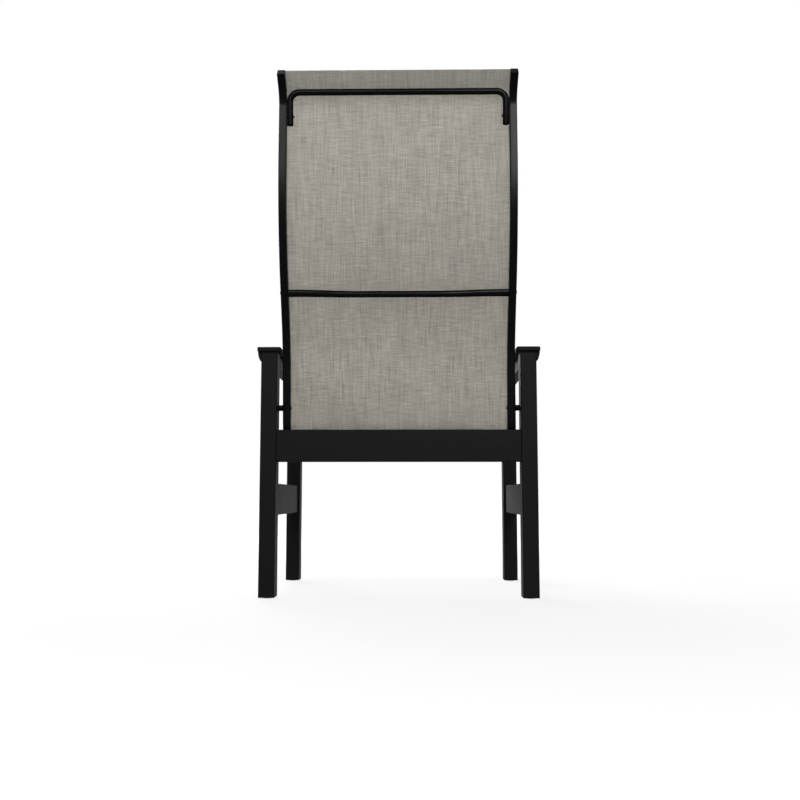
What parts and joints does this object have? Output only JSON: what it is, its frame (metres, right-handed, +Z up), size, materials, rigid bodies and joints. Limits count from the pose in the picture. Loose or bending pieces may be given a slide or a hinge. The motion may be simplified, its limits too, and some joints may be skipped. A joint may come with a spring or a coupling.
{
  "type": "sling patio chair",
  "caption": "High-back outdoor armchair: black plank frame carrying two bent side rails with one stretched woven sling as seat and back.",
  "frame": {"origin": "on the floor, centre of the bounding box seen from above", "axes": "+Z up; -Y the way the sitter faces; +X to the sitter's left"},
  "size_m": [0.6706, 0.7332, 1.2147],
  "materials": {
    "frame_lumber": "black matte poly lumber with a fine brushed grain",
    "rail_metal": "black powder coat, satin, fine texture",
    "sling_cloth": "warm grey PVC-coated polyester mesh, linen look weave",
    "black_plastic": "black moulded nylon",
    "fastener_steel": "black coated stainless steel",
    "insert_brass": "plain turned brass"
  },
  "bodies": {
    "root": {"arm_left": "frame_lumber", "arm_plank_left": "frame_lumber", "arm_plank_right": "frame_lumber", "arm_right": "frame_lumber", "back_bar": "rail_metal", "back_bar_screw_left": "fastener_steel", "back_bar_screw_right": "fastener_steel", "front_bolt_left": "fastener_steel", "front_bolt_right": "fastener_steel", "front_corbel_left": "frame_lumber", "front_corbel_right": "frame_lumber", "front_cross_plank": "frame_lumber", "front_glide_left": "black_plastic", "front_glide_right": "black_plastic", "front_insert_left": "insert_brass", "front_insert_right": "insert_brass", "front_leg_left": "frame_lumber", "front_leg_right": "frame_lumber", "front_spacer_left": "black_plastic", "front_spacer_right": "black_plastic", "head_bar": "rail_metal", "head_bar_plug_left": "black_plastic", "head_bar_plug_right": "black_plastic", "head_bar_screw_left": "fastener_steel", "head_bar_screw_right": "fastener_steel", "rail_cap_front_left": "black_plastic", "rail_cap_front_right": "black_plastic", "rail_cap_top_left": "black_plastic", "rail_cap_top_right": "black_plastic", "rear_bolt_left": "fastener_steel", "rear_bolt_right": "fastener_steel", "rear_corbel_left": "frame_lumber", "rear_corbel_right": "frame_lumber", "rear_cross_plank": "frame_lumber", "rear_glide_left": "black_plastic", "rear_glide_right": "black_plastic", "rear_insert_left": "insert_brass", "rear_insert_right": "insert_brass", "rear_leg_left": "frame_lumber", "rear_leg_right": "frame_lumber", "rear_spacer_left": "black_plastic", "rear_spacer_right": "black_plastic", "seat_bar_front": "rail_metal", "seat_bar_front_screw_left": "fastener_steel", "seat_bar_front_screw_right": "fastener_steel", "seat_bar_rear": "rail_metal", "seat_bar_rear_screw_left": "fastener_steel", "seat_bar_rear_screw_right": "fastener_steel", "side_rail_left": "rail_metal", "side_rail_right": "rail_metal", "sling": "sling_cloth", "spline_left": "black_plastic", "spline_right": "black_plastic", "stretcher_left": "frame_lumber", "stretcher_right": "frame_lumber"}
  },
  "joints": []
}
